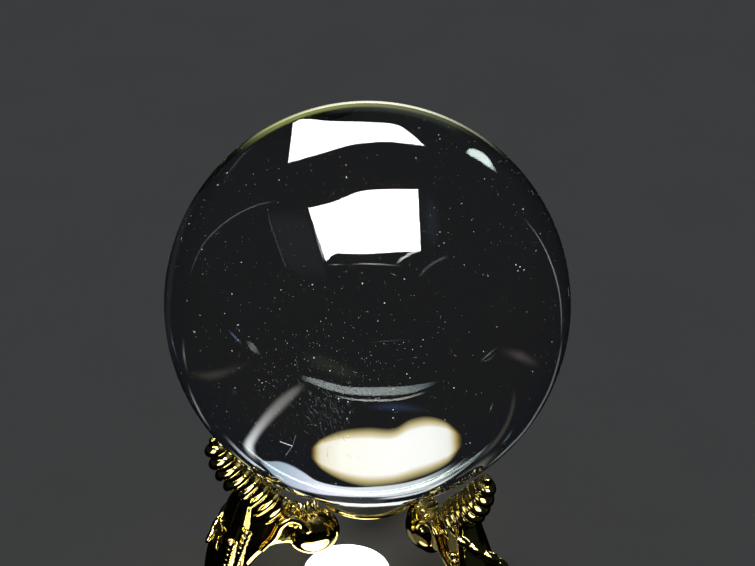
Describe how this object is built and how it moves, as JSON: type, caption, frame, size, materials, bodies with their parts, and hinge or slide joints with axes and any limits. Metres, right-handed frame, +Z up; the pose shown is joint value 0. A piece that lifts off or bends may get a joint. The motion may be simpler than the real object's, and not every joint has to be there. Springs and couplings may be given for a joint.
{
  "type": "quartz sphere on stand",
  "caption": "Polished clear quartz sphere resting on a gilt metal stand with scroll legs joined by a thin ring.",
  "frame": {"origin": "on the surface that the feet stand on, straight below the centre of the sphere", "axes": "+Z up through the centre of the sphere; the picture is taken from the -Y side, with +X to its right"},
  "size_m": [0.05, 0.05, 0.0665],
  "materials": {
    "quartz": "polished, water clear",
    "gilt": "polished gilt"
  },
  "bodies": {
    "root": {"sphere": "quartz", "leg_left": "gilt", "leg_right": "gilt", "leg_back": "gilt", "ring": "gilt"}
  },
  "joints": []
}
